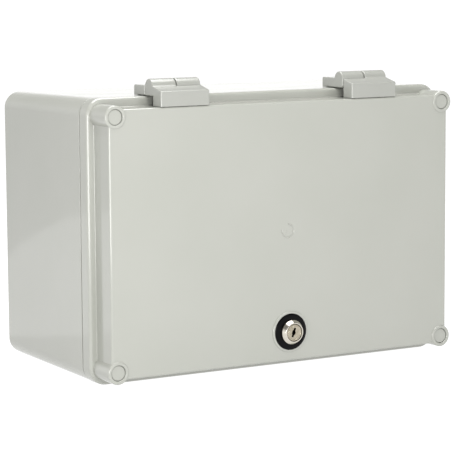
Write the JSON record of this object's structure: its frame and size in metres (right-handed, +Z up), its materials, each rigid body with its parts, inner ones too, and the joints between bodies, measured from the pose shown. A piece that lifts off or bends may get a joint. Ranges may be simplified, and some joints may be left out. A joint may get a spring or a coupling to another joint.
{
  "type": "bait station",
  "caption": "Deep moulded box with a top-hinged lid, rounded corners, capped corner bosses and a key cam lock, made to stand or hang on a wall.",
  "frame": {"origin": "centre of the footprint, on the surface the box stands on", "axes": "+Z up, the lid faces -Y, +X to the right of someone facing the lid"},
  "size_m": [0.3014, 0.1792, 0.2177],
  "materials": {
    "shell_plastic": "glossy moulded light grey",
    "hinge_plastic": "satin moulded grey",
    "zinc_steel": "zinc plated",
    "nickel": "polished nickel",
    "black_trim": "glossy black",
    "seal_foam": "soft black foam"
  },
  "bodies": {
    "body": {"body_leaf_screw_1": "zinc_steel", "body_leaf_screw_2": "zinc_steel", "body_leaf_screw_3": "zinc_steel", "body_leaf_screw_4": "zinc_steel", "hinge_body_leaf_left": "hinge_plastic", "hinge_body_leaf_right": "hinge_plastic", "hinge_pin_left": "zinc_steel", "hinge_pin_right": "zinc_steel", "keeper": "zinc_steel", "keeper_screw_1": "zinc_steel", "keeper_screw_2": "zinc_steel", "tub": "shell_plastic"},
    "lid": {"lid": "shell_plastic", "lid_seal": "seal_foam", "lock_trim_ring": "black_trim", "lock_housing": "nickel", "lock_washer": "zinc_steel", "lock_nut": "zinc_steel", "hinge_lid_leaf_left": "hinge_plastic", "hinge_lid_leaf_right": "hinge_plastic", "boss_cap_bottom_left": "shell_plastic", "boss_cap_bottom_right": "shell_plastic", "boss_cap_top_left": "shell_plastic", "boss_cap_top_right": "shell_plastic", "lid_leaf_screw_1": "zinc_steel", "lid_leaf_screw_2": "zinc_steel", "lid_leaf_screw_3": "zinc_steel", "lid_leaf_screw_4": "zinc_steel"},
    "lock": {"lock_plug": "nickel", "lock_cam": "zinc_steel", "cam_screw": "zinc_steel"}
  },
  "joints": [
    {"name": "lid_hinge", "type": "hinge", "parent": "body", "child": "lid", "pos_m": [0, -0.06505, 0.212], "axis": [-1, 0, 0], "range_deg": [0, 160]},
    {"name": "lock_turn", "type": "hinge", "parent": "lid", "child": "lock", "pos_m": [0.0032, -0.08335, 0.0286], "axis": [0, -1, 0], "range_deg": [0, 90]}
  ]
}
